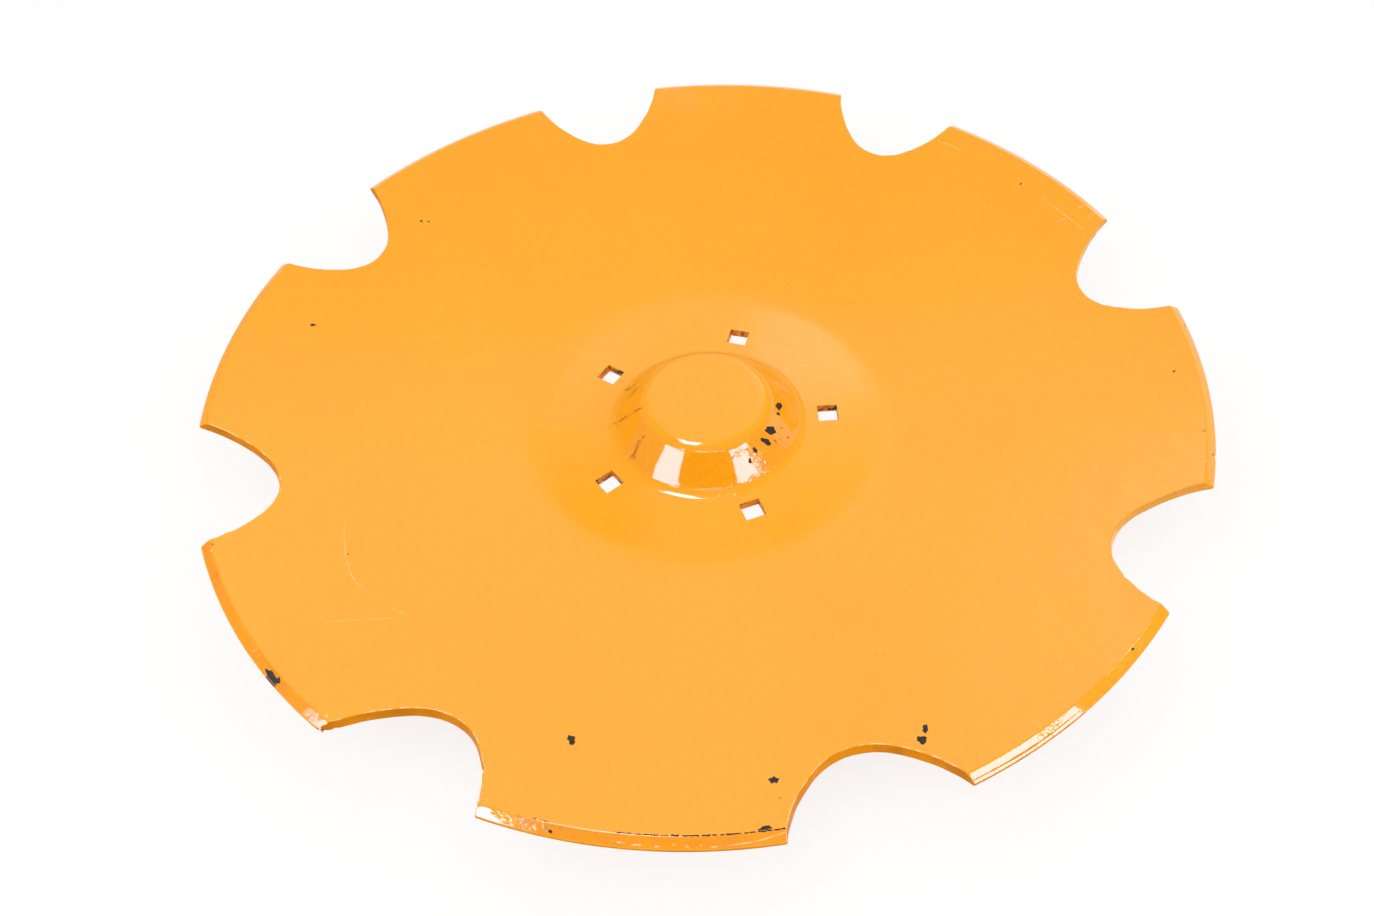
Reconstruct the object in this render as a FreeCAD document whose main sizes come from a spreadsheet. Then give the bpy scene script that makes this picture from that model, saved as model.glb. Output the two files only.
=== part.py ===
import FreeCAD, Part
import math
import os
import Sketcher

# Notched harrow disc blade, pressed from one flat sheet of steel.
# The flat ring round the centre lies level and the blade is dished upwards from it, so +Z is the
# disc's axis and points out of the hollow side. The origin is on the axis, level with the underside
# of the flat ring. One bolt hole lies on -X, in the middle of a tooth, so both the holes and the
# notches are symmetrical about the X axis.

NODE = "disc_blade"

# Driving dimensions, in millimetres and degrees
SIZES = {
    # the sheet and its dish
    "outer_diameter": 610.0,
    "sheet_thickness": 6.0,
    "dish_radius": 750.0,  # spherical radius of the hollow face
    "flat_diameter": 230.0,  # where the hollow face, carried on, would meet the flat ring
    "dish_blend_radius": 120.0,  # soft bend between the flat ring and the dish
    # the sharpened rim
    "bevel_width": 5.8,  # measured along the radius
    "edge_land": 1.5,  # height of the square edge that the bevel leaves
    # the boss pressed up in the middle, clear of the bearing housing below it
    "boss_top_diameter": 73.0,  # level part of its top
    "boss_height": 21.0,
    "boss_wall_angle": 45.0,  # slope of its wall
    "boss_top_radius": 10.0,  # bend at its top, on the upper face
    "boss_foot_radius": 10.0,  # bend at its foot, on the upper face
    # the square bolt holes
    "bolt_count": 5,
    "bolt_circle_diameter": 158.0,
    "bolt_hole_side": 13.0,
    "bolt_hole_corner_radius": 1.2,
    "first_bolt_angle": 180.0,
    # the notches round the rim
    "notch_count": 8,
    "notch_depth": 44.0,  # along the radius, on the hollow face
    "notch_root_radius": 32.5,
    "notch_root_half_angle": 37.5,  # the root's arc turns this far each side of its deepest point
    "notch_flank_radius": 80.0,
    "notch_overrun": 12.0,  # how far the cutter stands out past the rim
}

# A sketch numbers the points of an edge from one, and its own axes down from minus one
START, END, CENTRE = range(1, 4)
H_AXIS, V_AXIS = range(-1, -3, -1)
ORIGIN = (H_AXIS, START)

FULL_TURN = 360.0
QUARTER_TURN = 90.0
SQUARE_SIDES = 4
# How far the number of cuts, counted by volume, may be from the count asked for
CUT_TOLERANCE = 0.01

# Worked out from the driving dimensions, for use in expressions: the height of the dish's centre
# and the radius at which a notch is deepest
DISH_CENTRE = "(Sizes.sheet_thickness + sqrt(Sizes.dish_radius ^ 2 - (Sizes.flat_diameter / 2) ^ 2))"
NOTCH_ROOT = "(Sizes.outer_diameter / 2 - Sizes.notch_depth)"


def make_sizes(doc):
    sheet = doc.addObject("Spreadsheet::Sheet", "Sizes")
    for row, (name, value) in enumerate(SIZES.items(), start=1):
        sheet.set("A%d" % row, name.replace("_", " "))
        sheet.set("B%d" % row, str(value))
        sheet.setAlias("B%d" % row, name)
    doc.recompute()
    return sheet


def vector(x, y):
    return FreeCAD.Vector(x, y, 0)


def turned(x, y, angle):
    ahead = math.cos(math.radians(angle))
    across = math.sin(math.radians(angle))
    return x * ahead - y * across, x * across + y * ahead


def shifted(point, distance):
    return point[0] + distance, point[1]


def add_line(sketch, start, end):
    return sketch.addGeometry(Part.LineSegment(vector(*start), vector(*end)))


def add_arc(sketch, centre, radius, first, last):
    # first and last are in degrees, counter-clockwise
    circle = Part.Circle(vector(*centre), FreeCAD.Vector(0, 0, 1), radius)
    return sketch.addGeometry(Part.ArcOfCircle(circle, math.radians(first), math.radians(last)))


def relate(sketch, kind, *where):
    return sketch.addConstraint(Sketcher.Constraint(kind, *where))


def dimension(sketch, name, kind, where, formula):
    # a named dimension of the sketch, driven by a formula on the sizes
    value = float(sketch.evalExpression(formula))
    if kind == "Angle":
        value = math.radians(value)
        formula = "(%s) * 1 deg" % formula
    index = relate(sketch, kind, *where, value)
    sketch.renameConstraint(index, name)
    sketch.setExpression("Constraints." + name, formula)


def origin_feature(body, role):
    return next(item for item in body.Origin.OriginFeatures if item.Role == role)


def new_sketch(body, name, plane):
    sketch = body.newObject("Sketcher::SketchObject", name)
    sketch.AttachmentSupport = [(origin_feature(body, plane), "")]
    sketch.MapMode = "FlatFace"
    return sketch


def tilt(angle):
    # unit vector at this many degrees from vertical
    return math.sin(math.radians(angle)), math.cos(math.radians(angle))


def along(centre, radius, direction):
    return centre[0] + radius * direction[0], centre[1] + radius * direction[1]


def draw_section(body, sheet):
    # Half section of the blade, X along the radius and Y up the axis. The upper face is drawn from
    # the boss out to the rim, and the underside comes back at the sheet's thickness below it.
    sketch = new_sketch(body, "Section", "XZ_Plane")
    thick = sheet.sheet_thickness
    rim = sheet.outer_diameter / 2
    ridge = rim - sheet.bevel_width
    dish = sheet.dish_radius
    blend = sheet.dish_blend_radius
    top_bend = sheet.boss_top_radius
    foot_bend = sheet.boss_foot_radius
    wall = sheet.boss_wall_angle
    top = thick + sheet.boss_height
    steep = tilt(wall)

    # Centres of the bends, from the boss outwards
    top_centre = (sheet.boss_top_diameter / 2, top - top_bend)
    wall_drop = sheet.boss_height - (top_bend + foot_bend) * (1 - steep[1])
    wall_reach = wall_drop / math.tan(math.radians(wall))
    foot_centre = (
        top_centre[0] + (top_bend + foot_bend) * steep[0] + wall_reach,
        thick + foot_bend,
    )
    dish_centre = (0.0, float(sketch.evalExpression(DISH_CENTRE)))
    blend_rise = dish_centre[1] - thick - blend
    blend_centre = (math.sqrt((dish - blend) ** 2 - blend_rise ** 2), thick + blend)
    blend_turn = math.degrees(math.atan2(blend_centre[0], blend_rise))

    def dish_height(radius, sphere):
        return dish_centre[1] - math.sqrt(sphere ** 2 - radius ** 2)

    def dish_turn(radius, sphere):
        return math.degrees(math.asin(radius / sphere))

    down = 270
    up = 90
    ridge_point = (ridge, dish_height(ridge, dish))
    rim_foot = (rim, dish_height(rim, dish + thick))
    rim_top = (rim, rim_foot[1] + sheet.edge_land)

    # The upper face
    boss_top = add_line(sketch, (0, top), (top_centre[0], top))
    top_arc = add_arc(sketch, top_centre, top_bend, up - wall, up)
    boss_wall = add_line(
        sketch, along(top_centre, top_bend, steep), along(foot_centre, -foot_bend, steep)
    )
    foot_arc = add_arc(sketch, foot_centre, foot_bend, down - wall, down)
    flat_ring = add_line(sketch, (foot_centre[0], thick), (blend_centre[0], thick))
    blend_arc = add_arc(sketch, blend_centre, blend, down, down + blend_turn)
    dish_arc = add_arc(
        sketch, dish_centre, dish, down + blend_turn, down + dish_turn(ridge, dish)
    )

    # The rim
    bevel = add_line(sketch, ridge_point, rim_top)
    land = add_line(sketch, rim_top, rim_foot)

    # The underside
    dish_back = add_arc(
        sketch,
        dish_centre,
        dish + thick,
        down + blend_turn,
        down + dish_turn(rim, dish + thick),
    )
    blend_back = add_arc(sketch, blend_centre, blend + thick, down, down + blend_turn)
    flat_back = add_line(sketch, (blend_centre[0], 0), (foot_centre[0], 0))
    foot_back = add_arc(sketch, foot_centre, foot_bend + thick, down - wall, down)
    wall_back = add_line(
        sketch,
        along(foot_centre, -foot_bend - thick, steep),
        along(top_centre, top_bend - thick, steep),
    )
    top_back_arc = add_arc(sketch, top_centre, top_bend - thick, up - wall, up)
    boss_back = add_line(sketch, (top_centre[0], top - thick), (0, top - thick))
    axis = add_line(sketch, (0, top - thick), (0, top))

    # Smooth joints along the upper face
    relate(sketch, "Tangent", boss_top, END, top_arc, END)
    relate(sketch, "Tangent", top_arc, START, boss_wall, START)
    relate(sketch, "Tangent", boss_wall, END, foot_arc, START)
    relate(sketch, "Tangent", foot_arc, END, flat_ring, START)
    relate(sketch, "Tangent", flat_ring, END, blend_arc, START)
    relate(sketch, "Tangent", blend_arc, END, dish_arc, START)
    # Corners of the rim
    relate(sketch, "Coincident", dish_arc, END, bevel, START)
    relate(sketch, "Coincident", bevel, END, land, START)
    relate(sketch, "Coincident", land, END, dish_back, END)
    # Smooth joints along the underside
    relate(sketch, "Tangent", dish_back, START, blend_back, END)
    relate(sketch, "Tangent", blend_back, START, flat_back, START)
    relate(sketch, "Tangent", flat_back, END, foot_back, END)
    relate(sketch, "Tangent", foot_back, START, wall_back, START)
    relate(sketch, "Tangent", wall_back, END, top_back_arc, START)
    relate(sketch, "Tangent", top_back_arc, END, boss_back, START)
    # Along the axis
    relate(sketch, "Coincident", boss_back, END, axis, START)
    relate(sketch, "Coincident", axis, END, boss_top, START)
    relate(sketch, "PointOnObject", axis, START, V_AXIS)
    relate(sketch, "PointOnObject", axis, END, V_AXIS)
    relate(sketch, "PointOnObject", dish_arc, CENTRE, V_AXIS)

    # Every bend of the underside shares its centre with the bend above it
    relate(sketch, "Coincident", dish_back, CENTRE, dish_arc, CENTRE)
    relate(sketch, "Coincident", blend_back, CENTRE, blend_arc, CENTRE)
    relate(sketch, "Coincident", foot_back, CENTRE, foot_arc, CENTRE)
    relate(sketch, "Coincident", top_back_arc, CENTRE, top_arc, CENTRE)

    relate(sketch, "Horizontal", boss_top)
    relate(sketch, "Horizontal", flat_ring)
    relate(sketch, "Horizontal", boss_back)
    relate(sketch, "Horizontal", flat_back)
    relate(sketch, "PointOnObject", flat_back, START, H_AXIS)
    relate(sketch, "Vertical", land)

    dimension(sketch, "rim", "DistanceX", [*ORIGIN, land, START], "Sizes.outer_diameter / 2")
    dimension(sketch, "bevel", "DistanceX", [bevel, START, bevel, END], "Sizes.bevel_width")
    dimension(sketch, "land", "DistanceY", [land, END, land, START], "Sizes.edge_land")
    dimension(sketch, "dish", "Radius", [dish_arc], "Sizes.dish_radius")
    dimension(
        sketch,
        "dish_back",
        "Radius",
        [dish_back],
        "Sizes.dish_radius + Sizes.sheet_thickness",
    )
    dimension(sketch, "dish_centre", "DistanceY", [*ORIGIN, dish_arc, CENTRE], DISH_CENTRE)
    dimension(sketch, "blend", "Radius", [blend_arc], "Sizes.dish_blend_radius")
    dimension(
        sketch,
        "boss_top",
        "DistanceX",
        [*ORIGIN, boss_top, END],
        "Sizes.boss_top_diameter / 2",
    )
    dimension(
        sketch,
        "boss_height",
        "DistanceY",
        [flat_ring, START, boss_top, START],
        "Sizes.boss_height",
    )
    dimension(
        sketch,
        "boss_wall",
        "Angle",
        [flat_ring, START, boss_wall, END],
        "180 - Sizes.boss_wall_angle",
    )
    dimension(sketch, "top_bend", "Radius", [top_arc], "Sizes.boss_top_radius")
    dimension(
        sketch,
        "top_bend_back",
        "Radius",
        [top_back_arc],
        "Sizes.boss_top_radius - Sizes.sheet_thickness",
    )
    dimension(sketch, "foot_bend", "Radius", [foot_arc], "Sizes.boss_foot_radius")
    return sketch


def revolve_section(body, section):
    blank = body.newObject("PartDesign::Revolution", "PressedDisc")
    blank.Profile = section
    blank.ReferenceAxis = (section, ["V_Axis"])
    blank.Angle = FULL_TURN
    section.Visibility = False
    return blank


def draw_notch(body, sheet):
    # Outline of one notch, in the plane that touches the hollow face at the notch's root, so that
    # the notch's wall stands square to the sheet. X runs out along the slope from the root.
    sketch = new_sketch(body, "NotchOutline", "XY_Plane")
    turn = "180 / Sizes.notch_count"
    slope = "asin(%s / Sizes.dish_radius)" % NOTCH_ROOT
    height = "(%s - sqrt(Sizes.dish_radius ^ 2 - %s ^ 2))" % (DISH_CENTRE, NOTCH_ROOT)
    sketch.setExpression(
        "AttachmentOffset",
        "placement(vector(%s * cos(%s); %s * sin(%s); %s); rotation(%s; -1 * %s; 0))"
        % (NOTCH_ROOT, turn, NOTCH_ROOT, turn, height, turn, slope),
    )

    root = sheet.notch_root_radius
    flank = sheet.notch_flank_radius
    half = sheet.notch_root_half_angle
    reach = sheet.notch_depth + sheet.notch_overrun
    lean = tilt(half)
    bend = (root * (1 - lean[1]), root * lean[0])
    flank_centre = (bend[0] + flank * lean[1], bend[1] - flank * lean[0])
    mouth = math.degrees(math.acos((flank_centre[0] - reach) / flank))
    mouth_half = flank_centre[1] + flank * math.sin(math.radians(mouth))
    left = 180

    root_arc = add_arc(sketch, (root, 0), root, left - half, left + half)
    upper_flank = add_arc(sketch, flank_centre, flank, left - mouth, left - half)
    lower_flank = add_arc(
        sketch, (flank_centre[0], -flank_centre[1]), flank, left + half, left + mouth
    )
    closing = add_line(sketch, (reach, -mouth_half), (reach, mouth_half))

    relate(sketch, "Tangent", upper_flank, END, root_arc, START)
    relate(sketch, "Tangent", root_arc, END, lower_flank, START)
    relate(sketch, "Coincident", lower_flank, END, closing, START)
    relate(sketch, "Coincident", closing, END, upper_flank, START)
    relate(sketch, "PointOnObject", root_arc, CENTRE, H_AXIS)
    relate(sketch, "Vertical", root_arc, START, root_arc, END)
    relate(sketch, "Vertical", closing)
    relate(sketch, "Equal", upper_flank, lower_flank)
    dimension(sketch, "root", "Radius", [root_arc], "Sizes.notch_root_radius")
    dimension(
        sketch,
        "root_centre",
        "DistanceX",
        [*ORIGIN, root_arc, CENTRE],
        "Sizes.notch_root_radius",
    )
    dimension(
        sketch,
        "root_chord",
        "DistanceY",
        [root_arc, END, root_arc, START],
        "2 * Sizes.notch_root_radius * sin(Sizes.notch_root_half_angle)",
    )
    dimension(sketch, "flank", "Radius", [upper_flank], "Sizes.notch_flank_radius")
    dimension(
        sketch,
        "reach",
        "DistanceX",
        [*ORIGIN, closing, START],
        "Sizes.notch_depth + Sizes.notch_overrun",
    )
    return sketch


def draw_bolt_hole(body, sheet):
    # Outline of the square hole, its X axis turned to run out through the middle of the hole
    sketch = new_sketch(body, "BoltHoleOutline", "XY_Plane")
    sketch.setExpression(
        "AttachmentOffset", "placement(vector(0; 0; 0); rotation(Sizes.first_bolt_angle; 0; 0))"
    )
    middle = sheet.bolt_circle_diameter / 2
    side = sheet.bolt_hole_side / 2
    corner = sheet.bolt_hole_corner_radius
    inset = side - corner

    # Sides and corners in turn, counter-clockwise from the side nearest the rim
    sides = []
    corners = []
    for number in range(SQUARE_SIDES):
        angle = QUARTER_TURN * number
        start = shifted(turned(side, -inset, angle), middle)
        end = shifted(turned(side, inset, angle), middle)
        centre = shifted(turned(inset, inset, angle), middle)
        sides.append(add_line(sketch, start, end))
        corners.append(add_arc(sketch, centre, corner, angle, angle + QUARTER_TURN))
    for number in range(SQUARE_SIDES):
        following = sides[(number + 1) % SQUARE_SIDES]
        relate(sketch, "Tangent", sides[number], END, corners[number], START)
        relate(sketch, "Tangent", corners[number], END, following, START)
    outer, upper, inner, lower = sides
    relate(sketch, "Vertical", inner)
    relate(sketch, "Horizontal", upper)
    relate(sketch, "Horizontal", lower)
    for other in corners[1:]:
        relate(sketch, "Equal", corners[0], other)
    relate(sketch, "Symmetric", outer, START, outer, END, H_AXIS)
    dimension(
        sketch,
        "corner",
        "Radius",
        [corners[0]],
        "Sizes.bolt_hole_corner_radius",
    )
    dimension(sketch, "width", "DistanceX", [inner, END, outer, START], "Sizes.bolt_hole_side")
    dimension(sketch, "breadth", "DistanceY", [lower, START, upper, END], "Sizes.bolt_hole_side")
    dimension(
        sketch,
        "outer_side",
        "DistanceX",
        [*ORIGIN, outer, START],
        "Sizes.bolt_circle_diameter / 2 + Sizes.bolt_hole_side / 2",
    )
    return sketch


def cut_through(body, outline, name):
    # cuts both ways from the outline's plane, right through the sheet
    pocket = body.newObject("PartDesign::Pocket", name)
    pocket.Profile = outline
    pocket.SideType = "Two sides"
    pocket.Type = "ThroughAll"
    pocket.Type2 = "ThroughAll"
    outline.Visibility = False
    return pocket


def repeat_round(body, feature, name, count):
    pattern = body.newObject("PartDesign::PolarPattern", name)
    pattern.Originals = [feature]
    pattern.Axis = (origin_feature(body, "Z_Axis"), [""])
    pattern.Angle = FULL_TURN
    pattern.setExpression("Occurrences", count)
    body.Tip = pattern
    return pattern


def check_cuts(before, first, last, count, name):
    # the pattern has to remove as much again for each copy as its first cut did
    one = before.Volume - first.Volume
    all_of_them = before.Volume - last.Volume
    if one <= 0 or abs(all_of_them / one - count) > CUT_TOLERANCE:
        raise RuntimeError(name + " did not cut through the sheet at every place")


def check(doc, bodies):
    for item in doc.Objects:
        if "Invalid" in item.State or "Error" in item.State:
            raise RuntimeError(item.Name + " did not build: " + ", ".join(item.State))
    for body in bodies:
        shape = body.Shape
        if shape.isNull() or not shape.isValid() or len(shape.Solids) != 1:
            raise RuntimeError(body.Label + " is not one valid solid")


def make_blade(doc, sheet):
    body = doc.addObject("PartDesign::Body", "Blade")
    body.Label = NODE

    blank = revolve_section(body, draw_section(body, sheet))
    doc.recompute()

    notch = cut_through(body, draw_notch(body, sheet), "Notch")
    notches = repeat_round(body, notch, "Notches", "Sizes.notch_count")
    doc.recompute()
    check_cuts(blank.Shape, notch.Shape, notches.Shape, sheet.notch_count, notches.Name)

    hole = cut_through(body, draw_bolt_hole(body, sheet), "BoltHole")
    holes = repeat_round(body, hole, "BoltHoles", "Sizes.bolt_count")
    doc.recompute()
    check_cuts(notches.Shape, hole.Shape, holes.Shape, sheet.bolt_count, holes.Name)
    return body


doc = FreeCAD.newDocument("HarrowDiscBlade")
sheet = make_sizes(doc)
bodies = [make_blade(doc, sheet)]
check(doc, bodies)

os.makedirs("parts", exist_ok=True)
for body in bodies:
    body.Shape.exportStep(os.path.join("parts", body.Label + ".step"))
    box = body.Shape.optimalBoundingBox()
    print(
        "%s: %.1f x %.1f x %.1f mm, %.1f cm3"
        % (body.Label, box.XLength, box.YLength, box.ZLength, body.Shape.Volume / 1000)
    )
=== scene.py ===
import math
import random

import bpy
import numpy as np
from mathutils import Matrix, Vector, noise
from mathutils.geometry import delaunay_2d_cdt


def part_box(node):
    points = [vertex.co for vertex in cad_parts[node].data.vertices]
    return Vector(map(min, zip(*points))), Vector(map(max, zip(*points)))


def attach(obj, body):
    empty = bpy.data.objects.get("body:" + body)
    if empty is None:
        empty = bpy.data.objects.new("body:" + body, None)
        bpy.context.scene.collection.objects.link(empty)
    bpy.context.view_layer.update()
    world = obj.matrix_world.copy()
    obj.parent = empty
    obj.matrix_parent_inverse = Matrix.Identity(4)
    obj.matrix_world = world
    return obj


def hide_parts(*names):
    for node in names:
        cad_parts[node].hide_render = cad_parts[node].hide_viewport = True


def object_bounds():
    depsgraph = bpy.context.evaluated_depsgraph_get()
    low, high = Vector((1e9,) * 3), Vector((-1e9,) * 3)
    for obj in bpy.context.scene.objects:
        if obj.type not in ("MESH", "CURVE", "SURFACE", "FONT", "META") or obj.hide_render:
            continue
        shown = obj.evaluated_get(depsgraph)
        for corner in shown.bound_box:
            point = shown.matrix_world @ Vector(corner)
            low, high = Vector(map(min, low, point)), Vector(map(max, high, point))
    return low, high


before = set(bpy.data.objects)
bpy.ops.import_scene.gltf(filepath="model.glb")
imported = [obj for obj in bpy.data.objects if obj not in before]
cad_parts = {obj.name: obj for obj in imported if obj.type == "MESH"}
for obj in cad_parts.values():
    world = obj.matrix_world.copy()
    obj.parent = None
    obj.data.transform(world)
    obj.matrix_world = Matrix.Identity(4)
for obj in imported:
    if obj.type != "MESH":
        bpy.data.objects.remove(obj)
cad_low, cad_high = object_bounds()
node_low, node_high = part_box("disc_blade")

MM = 0.001
SEED = 11

# The materials, in the order in which the blade carries them
PAINT, EDGE, RAW, STEEL, SCUFF_AND_GLINT, STAIN, RIPPLED, BEVEL = range(8)

# Section of the pressed sheet. The slack keeps the uneven cut edge inside the solid's box
PAINT_SLACK = 0.05 * MM
RIM = min(node_high.x, node_high.y, -node_low.x, -node_low.y) - PAINT_SLACK
SHEET = 6 * MM
DISH_RADIUS = 750 * MM
FLAT_RADIUS = 115 * MM
DISH_BLEND = 120 * MM
BOSS_TOP = 36.5 * MM
BOSS_HEIGHT = 21 * MM
BOSS_BEND = 10 * MM
BOSS_SLOPE = math.radians(45)
BEVEL_WIDTH = 5.8 * MM
EDGE_LAND = 1.5 * MM
RIDGE = RIM - BEVEL_WIDTH
RIDGE_ROUND = 1.2 * MM

DISH_CENTRE = SHEET + math.sqrt(DISH_RADIUS ** 2 - FLAT_RADIUS ** 2)
BLEND_CENTRE = math.sqrt(
    (DISH_RADIUS - DISH_BLEND) ** 2 - (DISH_CENTRE - SHEET - DISH_BLEND) ** 2
)
BLEND_TURN = math.asin(BLEND_CENTRE / (DISH_RADIUS - DISH_BLEND))
WALL_DROP = BOSS_HEIGHT - 2 * BOSS_BEND * (1 - math.cos(BOSS_SLOPE))
FOOT_CENTRE = (
    BOSS_TOP + 2 * BOSS_BEND * math.sin(BOSS_SLOPE) + WALL_DROP / math.tan(BOSS_SLOPE)
)
DISH_START = BLEND_CENTRE + DISH_BLEND * math.sin(BLEND_TURN)

# Notches
NOTCHES = 8
NOTCH_DEPTH = 44 * MM
NOTCH_ROOT = 32.5 * MM
NOTCH_HALF = math.radians(37.5)
NOTCH_FLANK = 80 * MM
ROOT_PLACE = RIM - NOTCH_DEPTH

# Square bolt holes
HOLES = 5
HOLE_CIRCLE = 79 * MM
HOLE_SIDE = 13 * MM
HOLE_CORNER = 1.2 * MM
FIRST_HOLE = math.pi

# Small rounding of the cut edges and of the corners in plan: the length of the curve on each side of
# the corner, limited to a share of the wall's height or of the way to the next point
EDGE_ROUND = 0.7 * MM
HOLE_ROUND = 0.35 * MM
LOW_EDGE_SHARE = 0.8
EDGE_LIMIT = 0.4
CORNER_ROUND = 1.3 * MM
CORNER_LIMIT = 0.45
HOLE_CORNER_SHARE = 0.7
HOLE_CORNER_CLEAR = 0.6

# How finely the outlines are divided
NOTCH_STEP = 1.1 * MM
RIM_STEP = 2.0 * MM
HOLE_STEP = 0.9 * MM
CORNER_STEPS = 5
FILLET_STEPS = 4
WALL_STEPS = 3

# How finely the faces are divided: spacing of the points inside the dish's start and outside it
UPPER_SPACING = (2.2 * MM, 4.5 * MM)
LOWER_SPACING = (3.5 * MM, 7.0 * MM)
BEVEL_SPACING = 1.2 * MM
BEVEL_MARGIN = 2 * MM
RING_GAP = 0.5 * MM
LAST_RING_SHARE = 0.6
FEWEST_ON_RING = 6
CLEAR_SHARE = 0.5
MERGE_DISTANCE = 1e-7
ALL_TRIANGLES = 0

# How closely the outlines are worked out
SLOPE_STEP = 0.02 * MM
WALL_ROUNDS = 12
MOUTH_HALVINGS = 40
TINY = 1e-12

# How far each face lies below the upper one
UPPER = 0.0
LOWER = SHEET


def sheet_height(radius, below):
    """Height of the pressed sheet's face that lies this far below the upper one, square to the sheet."""
    r = np.abs(np.asarray(radius, float))
    outer_bend = BOSS_BEND - below
    inner_bend = BOSS_BEND + below
    blend_bend = DISH_BLEND + below
    wall_start = FOOT_CENTRE - inner_bend * math.sin(BOSS_SLOPE)
    wall_height = SHEET + BOSS_BEND - inner_bend * math.cos(BOSS_SLOPE)
    boss_arc = np.sqrt(np.maximum(outer_bend ** 2 - (r - BOSS_TOP) ** 2, 0))
    foot_arc = np.sqrt(np.maximum(inner_bend ** 2 - (r - FOOT_CENTRE) ** 2, 0))
    blend_arc = np.sqrt(np.maximum(blend_bend ** 2 - (r - BLEND_CENTRE) ** 2, 0))
    stretches = [
        (BOSS_TOP, SHEET + BOSS_HEIGHT - below + 0 * r),
        (BOSS_TOP + outer_bend * math.sin(BOSS_SLOPE), SHEET + BOSS_HEIGHT - BOSS_BEND + boss_arc),
        (wall_start, wall_height + (wall_start - r) * math.tan(BOSS_SLOPE)),
        (FOOT_CENTRE, SHEET + BOSS_BEND - foot_arc),
        (BLEND_CENTRE, SHEET - below + 0 * r),
        (BLEND_CENTRE + blend_bend * math.sin(BLEND_TURN), SHEET + DISH_BLEND - blend_arc),
    ]
    dish = DISH_CENTRE - np.sqrt((DISH_RADIUS + below) ** 2 - r ** 2)
    return np.select([r < end for end, _ in stretches], [z for _, z in stretches], dish)


LAND_TOP = float(sheet_height(RIM, LOWER)) + EDGE_LAND
RIDGE_HEIGHT = float(sheet_height(RIDGE, UPPER))
BEVEL_SLOPE = (LAND_TOP - RIDGE_HEIGHT) / BEVEL_WIDTH
DISH_SLOPE = RIDGE / math.sqrt(DISH_RADIUS ** 2 - RIDGE ** 2)


def face_height(radius, below):
    """As sheet_height, with the bevel round the upper face's rim and its ridge a little rounded."""
    z = sheet_height(radius, below)
    if below != UPPER:
        return z
    r = np.asarray(radius, float)
    start = RIDGE - RIDGE_ROUND / 2
    along = np.clip(r - start, 0, RIDGE_ROUND)
    turn = (BEVEL_SLOPE - DISH_SLOPE) / (2 * RIDGE_ROUND)
    rounded = float(sheet_height(start, UPPER)) + DISH_SLOPE * along + turn * along ** 2
    bevel = rounded + BEVEL_SLOPE * np.maximum(r - start - RIDGE_ROUND, 0)
    return np.where(r > start, bevel, z)


def face_normals(plan, below):
    """Unit normals of a face at these plan points, pointing out of the sheet."""
    radius = np.hypot(*plan.T)
    rise = face_height(radius + SLOPE_STEP, below) - face_height(radius - SLOPE_STEP, below)
    slope = rise / (2 * SLOPE_STEP)
    outward = plan / np.maximum(radius, SLOPE_STEP)[:, None]
    normals = np.c_[-slope[:, None] * outward, np.ones(len(plan))]
    normals /= np.linalg.norm(normals, axis=1)[:, None]
    return normals if below == UPPER else -normals


def lift(plan, below):
    """Plan points raised to a face."""
    return np.c_[plan, face_height(np.hypot(*plan.T), below)]


def turned(points, angle):
    """Plan points turned counter-clockwise about the origin."""
    cos, sin = math.cos(angle), math.sin(angle)
    return np.asarray(points) @ np.array([[cos, sin], [-sin, cos]])


def polar(plan):
    """The radii and the angles in degrees of plan points."""
    return np.hypot(*plan.T), np.degrees(np.arctan2(plan[:, 1], plan[:, 0]))


def plan_place(radius, angle):
    """The plan point at a radius in millimetres and an angle in degrees."""
    return turned([(radius * MM, 0)], math.radians(angle))[0]


def notch_curve(length):
    """Points of the notch's outline at signed lengths from its root, on the plane that touches the
    hollow face there: X out along the slope, Y across."""
    size = np.abs(length)
    bend = NOTCH_ROOT * NOTCH_HALF
    angle = np.minimum(size, bend) / NOTCH_ROOT
    lean = NOTCH_HALF + np.maximum(size - bend, 0) / NOTCH_FLANK
    flank_x = NOTCH_ROOT * (1 - math.cos(NOTCH_HALF)) + NOTCH_FLANK * math.cos(NOTCH_HALF)
    flank_y = NOTCH_ROOT * math.sin(NOTCH_HALF) - NOTCH_FLANK * math.sin(NOTCH_HALF)
    x = np.where(
        size < bend, NOTCH_ROOT * (1 - np.cos(angle)), flank_x - NOTCH_FLANK * np.cos(lean)
    )
    y = np.where(size < bend, NOTCH_ROOT * np.sin(angle), flank_y + NOTCH_FLANK * np.sin(lean))
    return x, np.sign(length) * y


def notch_plan(length, below):
    """Plan points where the notch's wall, square to the sheet at its root, meets a face."""
    x, y = notch_curve(np.asarray(length, float))
    slope = math.asin(ROOT_PLACE / DISH_RADIUS)
    root_height = float(face_height(ROOT_PLACE, UPPER))
    depth = np.full(x.shape, -below)
    for _ in range(WALL_ROUNDS):
        out = ROOT_PLACE + x * math.cos(slope) - depth * math.sin(slope)
        z = root_height + x * math.sin(slope) + depth * math.cos(slope)
        depth = depth + (face_height(np.hypot(out, y), below) - z) * math.cos(slope)
    return np.c_[out, y]


def mouth_length(below):
    """Length along the notch's outline from its root to the rim."""
    low, high = NOTCH_DEPTH, 2 * NOTCH_DEPTH
    for _ in range(MOUTH_HALVINGS):
        middle = (low + high) / 2
        if np.linalg.norm(notch_plan([middle], below)) < RIM:
            low = middle
        else:
            high = middle
    return low


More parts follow.
